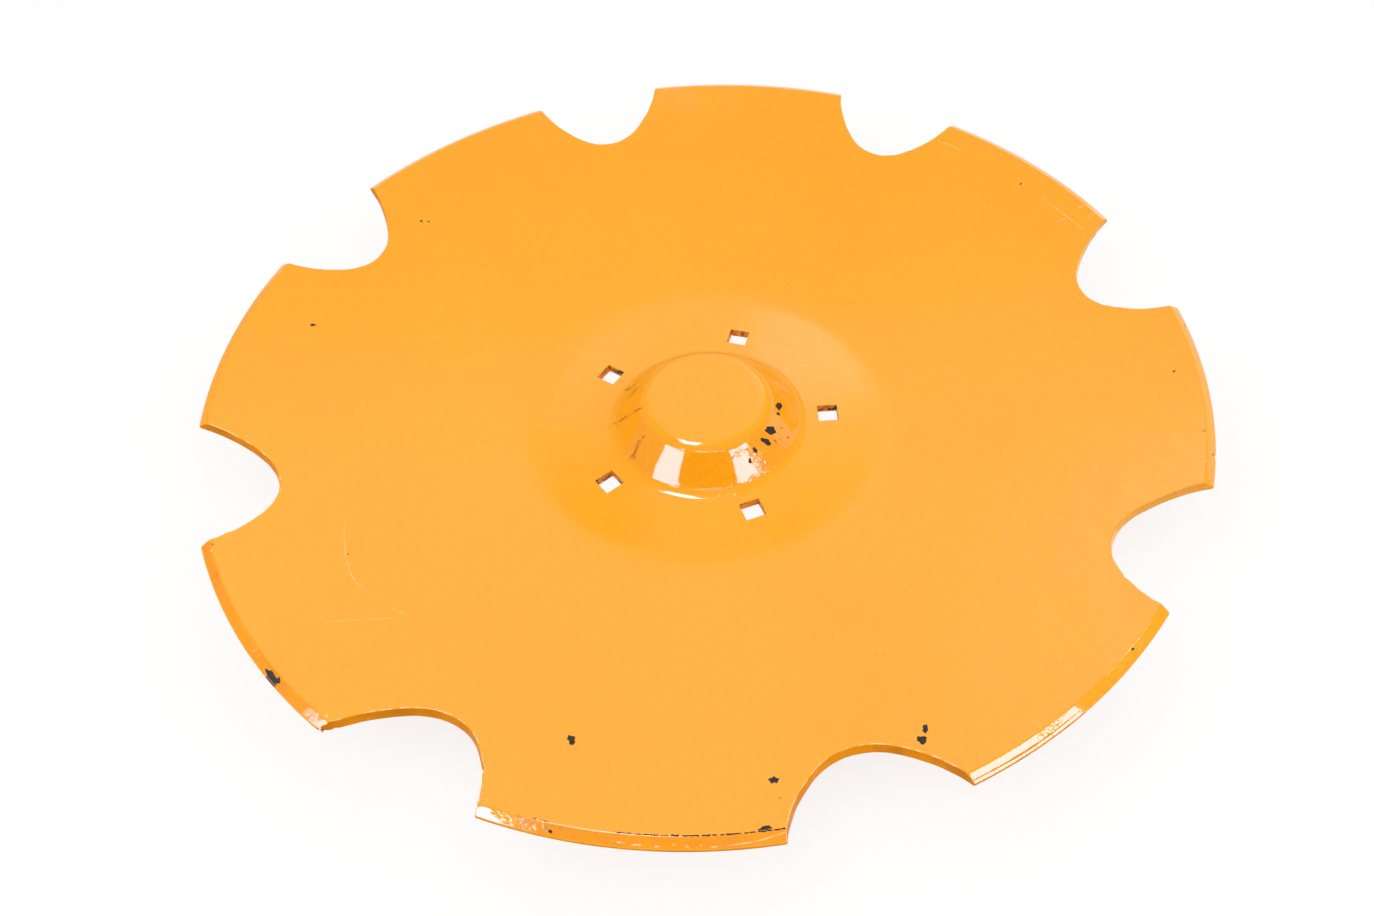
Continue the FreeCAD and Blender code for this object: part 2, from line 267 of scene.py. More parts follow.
def blade_outline(below):
    """The blade's outline in plan on one face, counter-clockwise, and the index of each corner."""
    mouth = mouth_length(below)
    notch_points = int(2 * NOTCH_DEPTH / NOTCH_STEP) + 1
    share = np.linspace(1, -1, notch_points)
    notch = notch_plan(-share * mouth, below)
    half = math.atan2(*np.abs(notch[0][::-1]))
    pitch = 2 * math.pi / NOTCHES
    rim_points = int(RIM * (pitch - 2 * half) / RIM_STEP)
    loop, corners = [], []
    for number in range(NOTCHES):
        middle = (number + 0.5) * pitch
        corners += [len(loop), len(loop) + notch_points - 1]
        loop += list(turned(notch, middle))
        angles = np.linspace(middle + half, middle + pitch - half, rim_points)[1:-1]
        loop += [(RIM * math.cos(a), RIM * math.sin(a)) for a in angles]
    return np.array(loop), corners


def bezier(start, control, end, t):
    """The point at a share t of a curve that leaves its start and end toward its control point."""
    return start * (1 - t) ** 2 + 2 * t * (1 - t) * control + end * t ** 2


def round_corners(loop, corners, size):
    """The closed loop with each corner point replaced by a short curve."""
    out = []
    for index, point in enumerate(loop):
        if index not in corners:
            out.append(point)
            continue
        before = loop[index - 1] - point
        after = loop[(index + 1) % len(loop)] - point
        start = point + before * min(CORNER_LIMIT, size / np.linalg.norm(before))
        end = point + after * min(CORNER_LIMIT, size / np.linalg.norm(after))
        out += [bezier(start, point, end, t) for t in np.linspace(0, 1, CORNER_STEPS)]
    return np.array(out)


def thin_out(loop, corners, keep_off):
    """Indexes of the points that are a corner or lie far enough from one, and the corners' places
    among them."""
    gaps = nearest(loop, loop[corners])
    kept = [i for i in range(len(loop)) if i in corners or gaps[i] > keep_off]
    places = {old: new for new, old in enumerate(kept)}
    return kept, [places[c] for c in corners]


def plan_normals(loop):
    """Unit vectors in plan, square to a counter-clockwise loop and pointing away from its inside."""
    along = np.roll(loop, -1, axis=0) - np.roll(loop, 1, axis=0)
    along /= np.linalg.norm(along, axis=1)[:, None]
    return np.c_[along[:, 1], -along[:, 0]]


def wander(points, size, seed):
    """Smooth noise, from -1 to 1, at these plan points."""
    return np.array([noise.noise(Vector((x / size, y / size, seed))) for x, y in points])


# Nicks in the cut edge: radius, angle, depth (negative where metal stands proud) and reach along the
# edge, in millimetres and degrees
NICKS = [
    (281.0, -151.0, 1.3, 1.6),
    (296.0, -158.5, 0.8, 2.0),
    (291.0, -65.5, -0.7, 1.5),
    (296.0, -62.0, -0.6, 1.2),
    (284.0, -69.5, -0.6, 1.0),
    (290.0, -16.5, -0.8, 1.6),
    (296.0, -14.5, 0.7, 1.4),
    (290.0, 165.5, -0.7, 1.8),
    (301.0, 164.8, 1.0, 1.2),
    (300.6, 166.9, 1.5, 1.1),
    (303.2, -166.3, 2.4, 2.0),
    (299.0, -165.9, 0.9, 1.2),
    (262.6, -70.0, -0.5, 1.6),
    (268.0, -73.0, 0.6, 1.8),
    (273.0, -29.0, 0.5, 1.6),
    (266.0, 27.5, 0.5, 1.5),
    (276.0, 61.0, -0.5, 1.4),
    (270.0, 118.0, 0.5, 1.5),
    (304.4, -54.6, 0.8, 1.2),
    (268.4, -26.3, 0.6, 1.8),
    (275.0, -28.0, -0.5, 1.6),
    (260.0, -67.1, -0.5, 1.3),
    (277.0, -73.5, 0.7, 1.6),
    (293.0, -76.0, 0.7, 1.8),
]
# Unevenness of the cut edge in plan, broad and fine. On the rim, only this share of it is left
EDGE_WANDER = 0.28 * MM
EDGE_WANDER_LENGTH = 9 * MM
EDGE_GRAIN = 0.10 * MM
EDGE_GRAIN_LENGTH = 2.2 * MM
EDGE_GRAIN_SEED = 7
RIM_SHARE = 0.35
RIM_MARGIN = 0.2 * MM

# Unevenness of the wall between the rounded edges
WALL_GRAIN = 0.06 * MM
WALL_GRAIN_LENGTH = 1.7 * MM
WALL_GRAIN_SLANT = 0.7

# Stretch of the rim where the paint is gone from the rounded edge too. This and the stretches below
# are given by their middle direction and how far they reach to each side, in degrees
BARE_RIM = (-174.45, 0.95)
# Plain gloss paint on the cut edge's wall here; elsewhere duller paint darkened as painted shade
UNSHADED_WALLS = (0.0, 91.0)
# Stretch of the bevel, on the camera's side, coloured darker and browner than the faces
BROWN_BEVEL = (205.0, 46.0)
# Directions of the notches whose upper rounded edge gets a painted highlight in the pale scuff colour,
# in patches, and the size of the noise that makes the patches and the height above which it does
HIGHLIGHT_NOTCHES = [157.5, -157.5, -112.5]
HIGHLIGHT_PATCH = 5 * MM
HIGHLIGHT_ABOVE = -0.05


def roughen(loop, seed):
    """The loop with the small unevenness and the nicks of a cut edge. The rim only loses metal."""
    normals = plan_normals(loop)
    on_rim = np.hypot(*loop.T) > RIM - RIM_MARGIN
    shift = EDGE_WANDER * wander(loop, EDGE_WANDER_LENGTH, seed)
    shift += EDGE_GRAIN * wander(loop, EDGE_GRAIN_LENGTH, seed + EDGE_GRAIN_SEED)
    shift = np.where(on_rim, -RIM_SHARE * np.abs(shift), shift)
    for radius, angle, depth, reach in NICKS:
        gap = np.linalg.norm(loop - plan_place(radius, angle), axis=1)
        shift -= depth * MM * np.exp(-((gap / (reach * MM)) ** 2))
    return loop + normals * shift[:, None]


class Surface:
    """Collects the blade's vertices, their normals, and its faces with their materials."""

    def __init__(self):
        self.points, self.normals, self.faces, self.kinds = [], [], [], []
        self.count = 0

    def add(self, points, normals):
        """Adds vertices and returns the number of the first."""
        first = self.count
        self.points.append(np.asarray(points, float))
        self.normals.append(np.asarray(normals, float))
        self.count += len(points)
        return first

    def face(self, corners, kind):
        """Adds a face between these vertices."""
        self.faces.append(tuple(int(c) for c in corners))
        self.kinds.append(kind)

    def strip(self, first, second, kinds):
        """Quads between two closed rows of vertices, with the material of each."""
        for i, kind in enumerate(kinds):
            j = (i + 1) % len(kinds)
            self.face((first + i, second + i, second + j, first + j), kind)


def unit(vectors):
    """The vectors, each at length one."""
    return vectors / np.maximum(np.linalg.norm(vectors, axis=1), TINY)[:, None]


def within(angles, middle, reach):
    """Which of these angles lie no further than the reach from a direction, all in degrees."""
    return np.abs((angles - middle + 180) % 360 - 180) < reach


def outer_kinds(loop):
    """The materials of the cut edge's wall and of its upper rounded edge at each point of the loop."""
    radii, angles = polar(loop)
    # Walls outside that stretch: duller paint, darker also as painted shade
    walls = np.full(len(loop), EDGE)
    walls[within(angles, *UNSHADED_WALLS)] = PAINT
    edges = np.full(len(loop), PAINT)
    # Patches of painted highlight on the upper rounded edge of these notches
    patches = wander(loop, HIGHLIGHT_PATCH, SEED) > HIGHLIGHT_ABOVE
    for middle in HIGHLIGHT_NOTCHES:
        edges[within(angles, middle, 180 / NOTCHES) & (radii < RIDGE) & patches] = SCUFF_AND_GLINT
    edges[within(angles, *BARE_RIM) & (radii > RIDGE)] = STEEL
    return walls, edges


def fillet(start, corner, end, first, last):
    """Rows of points and normals along a rounded edge, between its first and last normals."""
    shares = [step / FILLET_STEPS for step in range(FILLET_STEPS + 1)]
    return [(bezier(start, corner, end, t), unit(first * (1 - t) + last * t)) for t in shares]


def add_wall(surface, upper, lower, size, walls, edges, seed):
    """A cut edge between the two faces with both its edges rounded, and the materials of its wall and
    its upper edge. Returns the plan loops at which the faces start, with their first vertices."""
    away = plan_normals(upper)
    top_corner, low_corner = lift(upper, UPPER), lift(lower, LOWER)
    down = unit(low_corner - top_corner)
    flat = np.c_[away, np.zeros(len(away))]
    wall_normals = unit(flat - (flat * down).sum(axis=1)[:, None] * down)
    top_plan = upper - away * size
    low_plan = lower - away * size * LOW_EDGE_SHARE
    top_start, low_start = lift(top_plan, UPPER), lift(low_plan, LOWER)
    height = np.linalg.norm(low_corner - top_corner, axis=1)
    round_down = np.minimum(size, EDGE_LIMIT * height)[:, None]
    top_end = top_corner + down * round_down
    low_end = low_corner - down * round_down
    top_normals, low_normals = face_normals(top_plan, UPPER), face_normals(low_plan, LOWER)
    rows = fillet(top_start, top_corner, top_end, top_normals, wall_normals)
    for step in range(1, WALL_STEPS + 1):
        t = step / (WALL_STEPS + 1)
        points = top_end * (1 - t) + low_end * t
        slanted = points[:, :2] + points[:, 2:] * WALL_GRAIN_SLANT
        grain = WALL_GRAIN * wander(slanted, WALL_GRAIN_LENGTH, seed)
        rows.append((points + wall_normals * grain[:, None], wall_normals))
    rows += fillet(low_end, low_corner, low_start, wall_normals, low_normals)
    firsts = [surface.add(*row) for row in rows]
    for number, (first, second) in enumerate(zip(firsts, firsts[1:])):
        kinds = edges if number < FILLET_STEPS / 2 else walls
        if number < FILLET_STEPS:
            kinds = np.where(edges == STEEL, STEEL, kinds)
        surface.strip(first, second, kinds)
    return (top_plan, firsts[0]), (low_plan, firsts[-1])


# Chips through the paint: radius, angle, length, width, the turn of their length away from the
# radius, and what shows, in millimetres and degrees
CHIPS = [
    (261.5, 102.7, 2.4, 1.4, 20, STEEL),
    (258.4, 101.9, 2.0, 1.1, 70, STEEL),
    (265.1, 128.8, 3.8, 2.0, 35, STEEL),
    (249.3, -144.0, 5.6, 4.4, 60, STEEL),
    (269.9, -121.3, 4.6, 4.2, 80, STEEL),
    (281.0, -121.1, 1.5, 1.1, 0, STAIN),
    (266.2, -104.2, 5.8, 2.8, -35, STEEL),
    (271.2, -105.3, 5.4, 4.6, 15, STEEL),
    (285.1, -0.9, 2.2, 1.2, 10, STEEL),
    (287.7, -41.3, 2.0, 1.2, 40, STEEL),
    (46.6, -42.3, 6.4, 4.2, 80, STEEL),
    (46.8, -50.3, 3.0, 2.0, 60, STEEL),
    (46.7, -68.4, 7.4, 4.6, 65, STEEL),
    (48.4, -78.4, 6.6, 3.4, 45, STEEL),
    (48.4, -89.9, 3.2, 2.4, 40, STEEL),
    (51.5, -97.0, 2.6, 2.0, 20, STEEL),
    (52.0, -71.5, 3.2, 1.4, 30, STAIN),
    (54.6, -67.0, 4.6, 1.2, 15, STAIN),
    (56.0, -61.5, 2.6, 1.2, 60, STAIN),
    (51.0, -59.0, 2.0, 1.0, 60, STAIN),
    (57.5, 112.6, 9.0, 5.0, 40, STAIN),
    (296.9, -122.9, 6.4, 2.4, 85, STEEL),
    (296.6, -119.4, 4.2, 2.2, 90, STAIN),
    (302.7, -174.4, 11.5, 3.8, 86, STEEL),
    (301.4, -173.6, 3.6, 2.6, 60, STEEL),
    (300.6, -167.6, 3.0, 1.6, 20, SCUFF_AND_GLINT),
    (297.6, -166.9, 2.4, 1.2, 60, SCUFF_AND_GLINT),
    (302.6, -168.6, 2.2, 1.4, 90, SCUFF_AND_GLINT),
    (298.4, -168.4, 2.2, 0.8, 90, STAIN),
    (299.2, 167.6, 2.6, 1.4, 70, SCUFF_AND_GLINT),
    (300.2, -82.4, 2.2, 1.4, 90, STEEL),
    (301.6, -142.3, 3.8, 2.0, 80, STAIN),
    (298.3, -143.6, 3.2, 1.4, 90, STAIN),
    (298.0, 166.8, 3.0, 2.0, 90, STAIN),
    (236.5, 172.0, 1.2, 0.8, 0, STEEL),
    (238.2, 172.7, 0.9, 0.7, 0, STEEL),
    (300.6, -140.9, 2.6, 1.2, 80, STAIN),
    (302.4, -141.8, 2.4, 1.1, 70, STEEL),
    (302.6, -135.6, 4.0, 0.8, 88, SCUFF_AND_GLINT),
    (303.0, -134.2, 5.0, 0.8, 92, SCUFF_AND_GLINT),
    (303.2, -132.4, 2.6, 0.9, 90, SCUFF_AND_GLINT),
    (302.2, -130.9, 1.6, 0.9, 90, SCUFF_AND_GLINT),
    (303.0, -129.8, 2.0, 1.2, 70, SCUFF_AND_GLINT),
    (302.6, -128.6, 1.4, 0.8, 90, SCUFF_AND_GLINT),
    (303.3, -127.4, 4.0, 0.7, 90, SCUFF_AND_GLINT),
    (302.2, -143.3, 3.0, 1.0, 60, SCUFF_AND_GLINT),
    (300.4, -142.6, 4.0, 0.8, 20, SCUFF_AND_GLINT),
    (297.7, -51.3, 2.0, 1.2, 30, STAIN),
    (303.0, -54.4, 2.2, 1.4, 60, STAIN),
    (303.0, -34.3, 4.0, 1.2, 80, STAIN),
    (298.6, -55.8, 1.4, 0.9, 70, SCUFF_AND_GLINT),
    (119.0, 94.2, 1.6, 0.9, 50, SCUFF_AND_GLINT),
    (93.9, -140.3, 1.6, 1.0, 90, SCUFF_AND_GLINT),
]
# Runs and ripples in the paint, listed like the chips
RIPPLES = [
    (54.0, -90.5, 15.0, 13.0, 0),
    (60.0, -99.0, 6.0, 22.0, 0),
    (46.5, -101.0, 4.0, 12.0, 0),
    (61.6, -121.0, 5.0, 26.0, 0),
    (301.4, -146.0, 4.4, 15.0, 0),
    (300.8, -94.6, 4.6, 22.0, 0),
    (300.8, -84.0, 4.0, 16.0, 0),
]
# An uneven outline: its points, and its lobes by number, size and greatest turn in radians
CHIP_POINTS = 18
LOBES = (2, 3, 5)
LOBE_SIZE = 0.22
LOBE_TURN = 6.28
CHIP_UNEVENNESS = (0.85, 1.1)
# A chip's floor lies this deep, this far inside its outline and no smaller than this share of it.
# All marks but the scratches end before the rim's rounded edge
PAINT_DEPTH = 0.15 * MM
CHIP_RIM = 0.3 * MM
CHIP_FLOOR_SHARE = 0.3
CHIP_LIMIT = RIM - 0.95 * MM

# Stretches of the bevel's ridge worn through: first and last angle, and how strong the wear is
RIDGE_WEAR = [
    (-143.6, -142.8, 0.7), (-136.0, -134.2, 1.0), (-133.6, -127.8, 1.4), (-127.6, -121.2, 1.2),
]
# Its small patches: place, points to a side, least and greatest length and gap in degrees, and
# sideways shift and half width in millimetres
WEAR_PLACE = RIDGE - 0.6 * MM
WEAR_POINTS = 6
WEAR_LENGTH = (0.25, 1.1)
WEAR_GAP = (0.04, 0.4)
WEAR_SHIFT = (-0.2, 0.2)
WEAR_HALF = (0.15, 0.45)

# Scratches and stains in the paint: points as radius and angle, width in millimetres, what shows
SCRATCH_STEP = 3.0 * MM
SCRATCH_UNEVENNESS = (0.5, 1.1)
SCRATCH_TIP = 0.6
SCRATCHES = [
    ([(229.5, 164.3), (233.5, 167.6), (236.0, 170.4), (239.0, 173.7), (240.0, 177.2),
      (234.0, 181.3)], 0.45, SCUFF_AND_GLINT),
    ([(265.8, 181.6), (250.0, 183.4), (235.8, 185.3)], 0.5, SCUFF_AND_GLINT),
    ([(233.2, 183.8), (231.0, 184.6), (229.3, 185.9)], 0.4, SCUFF_AND_GLINT),
    ([(285.9, 14.5), (286.3, 12.0), (286.0, 9.5)], 0.4, SCUFF_AND_GLINT),
    ([(285.5, -4.6), (285.5, -9.1), (287.0, -13.9)], 0.5, SCUFF_AND_GLINT),
    ([(293.4, -10.1), (298.3, -10.2)], 0.5, SCUFF_AND_GLINT),
    ([(293.5, -12.4), (298.2, -12.3)], 0.6, SCUFF_AND_GLINT),
    ([(279.1, -9.9), (284.6, -10.1)], 0.5, SCUFF_AND_GLINT),
    ([(51.2, 105.8), (50.4, 101.5), (50.2, 97.8)], 0.5, STEEL),
    ([(62.7, 142.9), (56.0, 144.4), (48.0, 146.2), (41.4, 149.4)], 2.4, STAIN),
    ([(60.6, 174.7), (56.0, 175.6), (51.0, 173.6), (46.1, 174.1)], 3.2, STAIN),
    ([(58.2, 178.0), (55.0, 176.8)], 2.4, STAIN),
    ([(42.7, -138.5), (42.9, -128.0), (43.0, -117.5)], 0.7, SCUFF_AND_GLINT),
    ([(302.9, -104.6), (302.9, -101.5), (303.0, -98.0), (302.9, -94.5), (302.9, -91.2)], 1.0, EDGE),
    # This pale line along the near tooth's corner is a painted glint, not a scratch
    ([(299.6, -119.9), (301.6, -119.8), (303.4, -119.7)], 0.7, SCUFF_AND_GLINT),
    ([(303.0, 181.5), (301.0, 181.9), (299.6, 181.8)], 0.5, SCUFF_AND_GLINT),
    ([(302.6, 182.4), (301.0, 182.7), (299.8, 182.6)], 0.4, SCUFF_AND_GLINT),
    ([(303.3, -126.4), (302.6, -124.4), (301.8, -123.0), (300.2, -121.2)], 0.7, SCUFF_AND_GLINT),
    ([(299.6, -86.5), (299.4, -84.6), (299.5, -81.0), (299.3, -78.4)], 0.5, SCUFF_AND_GLINT),
    ([(303.2, -82.0), (301.2, -80.9), (299.2, -81.3)], 0.5, SCUFF_AND_GLINT),
]


def chip_outline(length, width, turn, maker):
    """An uneven closed outline about the origin, in plan."""
    points = []
    lobes = [
        (number, maker.uniform(-LOBE_SIZE, LOBE_SIZE), maker.uniform(0, LOBE_TURN))
        for number in LOBES
    ]
    for step in range(CHIP_POINTS):
        angle = 2 * math.pi * step / CHIP_POINTS
        size = 1 + sum(share * math.sin(number * angle + start) for number, share, start in lobes)
        size *= maker.uniform(*CHIP_UNEVENNESS)
        points.append((length / 2 * size * math.cos(angle), width / 2 * size * math.sin(angle)))
    return turned(points, turn)


def placed_chip(radius, angle, length, width, turn, maker):
    """A chip's uneven outline at its place on the blade, kept off the rim, and its middle."""
    centre = plan_place(radius, angle)
    turn = math.radians(turn) + math.radians(angle)
    outline = centre + chip_outline(length * MM, width * MM, turn, maker)
    reach = np.linalg.norm(outline, axis=1)
    return outline * np.minimum(1, CHIP_LIMIT / reach)[:, None], centre


def wear_outlines(first, last, wear, maker):
    """Outlines of the small worn patches along one stretch of the bevel's ridge."""
    outlines = []
    angle = first
    while angle < last:
        span = maker.uniform(*WEAR_LENGTH) * wear
        angles = np.radians(np.linspace(angle, angle + span, WEAR_POINTS))
        radii = WEAR_PLACE + np.array([maker.uniform(*WEAR_SHIFT) for _ in angles]) * MM
        half = np.array([maker.uniform(*WEAR_HALF) for _ in angles]) * MM * wear
        outer = np.c_[(radii + half) * np.cos(angles), (radii + half) * np.sin(angles)]
        inner = np.c_[(radii - half) * np.cos(angles), (radii - half) * np.sin(angles)]
        outlines.append(np.concatenate([outer, inner[::-1]]))
        angle += span + maker.uniform(*WEAR_GAP) / wear
    return outlines


def scratch_outline(knots, width, maker):
    """Outline of a scratch that follows a smooth path and narrows toward both ends."""
    path = smooth_path(np.array([plan_place(*knot) for knot in knots]), SCRATCH_STEP)
    away = plan_normals(path)
    away[0], away[-1] = away[1], away[-2]
    sides = []
    for index, across in enumerate(away):
        share = (index + SCRATCH_TIP) / (len(path) - 1 + 2 * SCRATCH_TIP)
        taper = math.sin(math.pi * share) ** 0.5
        sides.append(across * width / 2 * MM * taper * maker.uniform(*SCRATCH_UNEVENNESS))
    sides = np.array(sides)
    return np.concatenate([path + sides, (path - sides)[::-1]])


def make_marks():
    """Plan outlines of all marks, each with its middle, where it is a chip, and with its material."""
    maker = random.Random(SEED)
    marks = []
    for ripple in RIPPLES:
        outline, _centre = placed_chip(*ripple, maker)
        marks.append((outline, None, RIPPLED))
    for *chip, kind in CHIPS:
        outline, centre = placed_chip(*chip, maker)
        marks.append((outline, centre, kind))
    for stretch in RIDGE_WEAR:
        marks += [(outline, None, STEEL) for outline in wear_outlines(*stretch, maker)]
    for knots, width, kind in SCRATCHES:
        marks.append((scratch_outline(knots, width, maker), None, kind))
    return marks


def smooth_path(knots, step):
    """Points about one step apart on a smooth curve through the knots."""
    padded = np.concatenate([[2 * knots[0] - knots[1]], knots, [2 * knots[-1] - knots[-2]]])
    out = []
    for a, b, c, d in zip(padded, padded[1:], padded[2:], padded[3:]):
        count = max(2, int(np.linalg.norm(c - b) / step))
        for t in np.arange(count) / count:
            out.append(
                0.5 * (2 * b + (c - a) * t + (2 * a - 5 * b + 4 * c - d) * t ** 2
                       + (3 * b - a - 3 * c + d) * t ** 3)
            )
    out.append(knots[-1])
    return np.array(out)


def inside(points, loop):
    """Which of these plan points lie inside a closed loop."""
    x, y = points[:, 0], points[:, 1]
    result = np.zeros(len(points), bool)
    for (x0, y0), (x1, y1) in zip(loop, np.roll(loop, -1, axis=0)):
        if y0 != y1:
            crosses = (y0 > y) != (y1 > y)
            result ^= crosses & (x < x0 + (y - y0) * (x1 - x0) / (y1 - y0))
    return result


def nearest(points, others, chunk=4000):
    """Distance from each point to the nearest of the others, worked out in chunks."""
    gaps = []
    for start in range(0, len(points), chunk):
        part = points[start:start + chunk]
        gaps.append(np.sqrt(((part[:, None] - others[None]) ** 2).sum(axis=2)).min(axis=1))
    return np.concatenate(gaps) if gaps else np.zeros(0)


def ring_radii(spacings, below):
    """Radii of the rings of points between the middle and the rim."""
    spacing_in, spacing_out = spacings
    radii = list(np.arange(spacing_in, DISH_START, spacing_in))
    radii += list(np.arange(DISH_START, RIDGE - spacing_out * LAST_RING_SHARE, spacing_out))
    radii += [BOSS_TOP, BOSS_TOP + BOSS_BEND, FOOT_CENTRE - BOSS_BEND, FOOT_CENTRE, RIDGE]
    if below == UPPER:
        radii += [RIDGE - RIDGE_ROUND / 2, RIDGE + RIDGE_ROUND / 2, RIDGE + BEVEL_WIDTH / 2]
    kept = [0.0]
    for radius in sorted(radii):
        if radius - kept[-1] > RING_GAP:
            kept.append(radius)
    return kept[1:]


def ring_points(spacings, below):
    """Points on rings over a whole face, every other ring turned by half a step."""
    points = [(0.0, 0.0)]
    for number, radius in enumerate(ring_radii(spacings, below)):
        spacing = spacings[0] if radius < DISH_START else spacings[1]
        if radius > RIDGE - MM:
            spacing = min(spacing, RIM_STEP)
        count = max(FEWEST_ON_RING, int(2 * math.pi * radius / spacing))
        start = 0.5 * (number % 2)
        for step in range(count):
            angle = 2 * math.pi * (step + start) / count
            points.append((radius * math.cos(angle), radius * math.sin(angle)))
    return np.array(points)


def free_points(fixed, outer, holes, spacings, below):
    """Points inside a face's loops that keep clear of the fixed points."""
    free = ring_points(spacings, below)
    free = free[inside(free, outer)]
    for hole in holes:
        free = free[~inside(free, hole)]
    radii = np.hypot(*free.T)
    spacing = np.where(radii < BLEND_CENTRE, *spacings)
    spacing = np.where(radii > RIDGE - BEVEL_MARGIN, BEVEL_SPACING, spacing)
    return free[nearest(free, fixed) > CLEAR_SHARE * spacing]


class Filling:
    """What a face's triangles join: points, the edges to keep between them, the vertices that some
    points already have, and how deep some are sunk."""

    def __init__(self):
        self.points, self.edges, self.vertices, self.sunk = [], [], [], {}

    def add_loop(self, points, first=None):
        """Adds a closed loop and returns its points' indexes."""
        base, count = len(self.points), len(points)
        self.points.extend(points)
        self.edges.extend((base + i, base + (i + 1) % count) for i in range(count))
        self.vertices.extend(None if first is None else first + i for i in range(count))
        return range(base, base + count)

    def add_mark(self, outline, centre):
        """Adds a mark's outline and, where it is a chip with a middle, its sunk floor."""
        self.add_loop(outline)
        if centre is not None:
            size = np.linalg.norm(outline - centre, axis=1)
            shrink = np.maximum(1 - CHIP_RIM / size, CHIP_FLOOR_SHARE)[:, None]
            floor = self.add_loop(centre + (outline - centre) * shrink)
            self.sunk.update({index: PAINT_DEPTH for index in floor})

    def add_free(self, points):
        """Adds points that no edge joins yet."""
        self.points.extend(points)
        self.vertices.extend([None] * len(points))

    def triangles(self):
        """Plan points, triangles between them, and the given points that each stands for."""
        flat = [Vector((float(x), float(y))) for x, y in self.points]
        found = delaunay_2d_cdt(flat, self.edges, [], ALL_TRIANGLES, MERGE_DISTANCE, True)
        verts, _edges, faces, origins = found[:4]
        return np.array([(v.x, v.y) for v in verts]), np.array(faces), origins


def face_kinds(centres, marks, below):
    """The material at these plan points of a face."""
    radii, angles = polar(centres)
    bevel = within(angles, *BROWN_BEVEL) & (radii > RIDGE) & (below == UPPER)
    kinds = np.where(bevel, BEVEL, PAINT)
    for outline, _centre, kind in marks:
        kinds[inside(centres, outline)] = kind
    return kinds


def add_face(surface, below, outer, holes, marks, spacings):
    """Fills one face of the sheet between its outer loop and the holes' loops. Each loop is a plan
    loop with its first vertex in the surface."""
    filling = Filling()
    for loop, first in (outer, *holes):
        filling.add_loop(loop, first)
    for outline, centre, _kind in marks:
        filling.add_mark(outline, centre)
    outer_loop, hole_loops = outer[0], [loop for loop, _first in holes]
    fixed = np.array(filling.points)
    filling.add_free(free_points(fixed, outer_loop, hole_loops, spacings, below))

    plan, faces, origins = filling.triangles()
    points, normals = lift(plan, below), face_normals(plan, below)
    places = {}
    for index, sources in enumerate(origins):
        for source in sources:
            if filling.vertices[source] is not None:
                places[index] = filling.vertices[source]
            points[index, 2] -= filling.sunk.get(source, 0)
    new = [index for index in range(len(plan)) if index not in places]
    first = surface.add(points[new], normals[new])
    places.update({index: first + order for order, index in enumerate(new)})

    centres = plan[faces].mean(axis=1)
    keep = inside(centres, outer_loop)
    for loop in hole_loops:
        keep &= ~inside(centres, loop)
    kinds = face_kinds(centres, marks, below)
    for corners, kind in zip(faces[keep], kinds[keep]):
        order = corners if below == UPPER else corners[::-1]
        surface.face([places[c] for c in order], kind)


def hole_outline(number):
    """A square hole's outline in plan, clockwise, with its small corner rounds."""
    per_side = int(HOLE_SIDE / HOLE_STEP)
    half = HOLE_SIDE / 2
    loop, corners = [], []
    for side in range(4):
        corners.append(len(loop))
        for t in np.arange(per_side) / per_side:
            loop.append(turned([(half, -half + t * HOLE_SIDE)], side * math.pi / 2)[0])
    middle = FIRST_HOLE + number * 2 * math.pi / HOLES
    loop = turned(np.array(loop) + (HOLE_CIRCLE, 0), middle)
    kept, corners = thin_out(loop, corners, HOLE_CORNER * HOLE_CORNER_CLEAR)
    return round_corners(loop[kept], corners, HOLE_CORNER * HOLE_CORNER_SHARE)[::-1]


def blade_surface():
    """The whole surface: the cut edges round the outline and in the holes, and the two faces."""
    surface = Surface()
    upper, corners = blade_outline(UPPER)
    lower, _corners = blade_outline(LOWER)
    kept, corners = thin_out(upper, corners, CORNER_ROUND)
    upper = roughen(round_corners(upper[kept], corners, CORNER_ROUND), SEED)
    lower = roughen(round_corners(lower[kept], corners, CORNER_ROUND), SEED + 1)
    walls, edges = outer_kinds(upper)
    outer_top, outer_low = add_wall(surface, upper, lower, EDGE_ROUND, walls, edges, SEED)
    hole_tops, hole_lows = [], []
    for number in range(HOLES):
        loop = hole_outline(number)
        walls, edges = np.full(len(loop), RAW), np.full(len(loop), PAINT)
        top, low = add_wall(surface, loop, loop, HOLE_ROUND, walls, edges, SEED + number)
        hole_tops.append(top)
        hole_lows.append(low)
    add_face(surface, UPPER, outer_top, hole_tops, make_marks(), UPPER_SPACING)
    add_face(surface, LOWER, outer_low, hole_lows, [], LOWER_SPACING)
    return surface


def new_object(name, data):
    """A new object in the scene."""
    made = bpy.data.objects.new(name, data)
    bpy.context.scene.collection.objects.link(made)
    return made


def make_blade():
    """The blade's mesh object, with its materials."""
    surface = blade_surface()
    mesh = bpy.data.meshes.new("blade")
    points = np.concatenate(surface.points)
    mesh.from_pydata(points.tolist(), [], surface.faces)
    mesh.polygons.foreach_set("material_index", surface.kinds)
    mesh.polygons.foreach_set("use_smooth", [True] * len(surface.faces))
    mesh.validate(verbose=False)
    mesh.update()
    mesh.normals_split_custom_set_from_vertices(np.concatenate(surface.normals).tolist())
    blade = new_object("blade", mesh)
    for make_material in (
        paint_material, edge_material, raw_material, steel_material, scuff_and_glint_material,
        stain_material, rippled_material, bevel_material,
    ):
        mesh.materials.append(make_material())
    return blade


def node(tree, kind, **settings):
    """A new node with these settings."""
    made = tree.nodes.new(kind)
    for name, value in settings.items():
        setattr(made, name, value)
    return made


def link(tree, source, target):
    """Joins an output to an input."""
    tree.links.new(source, target)


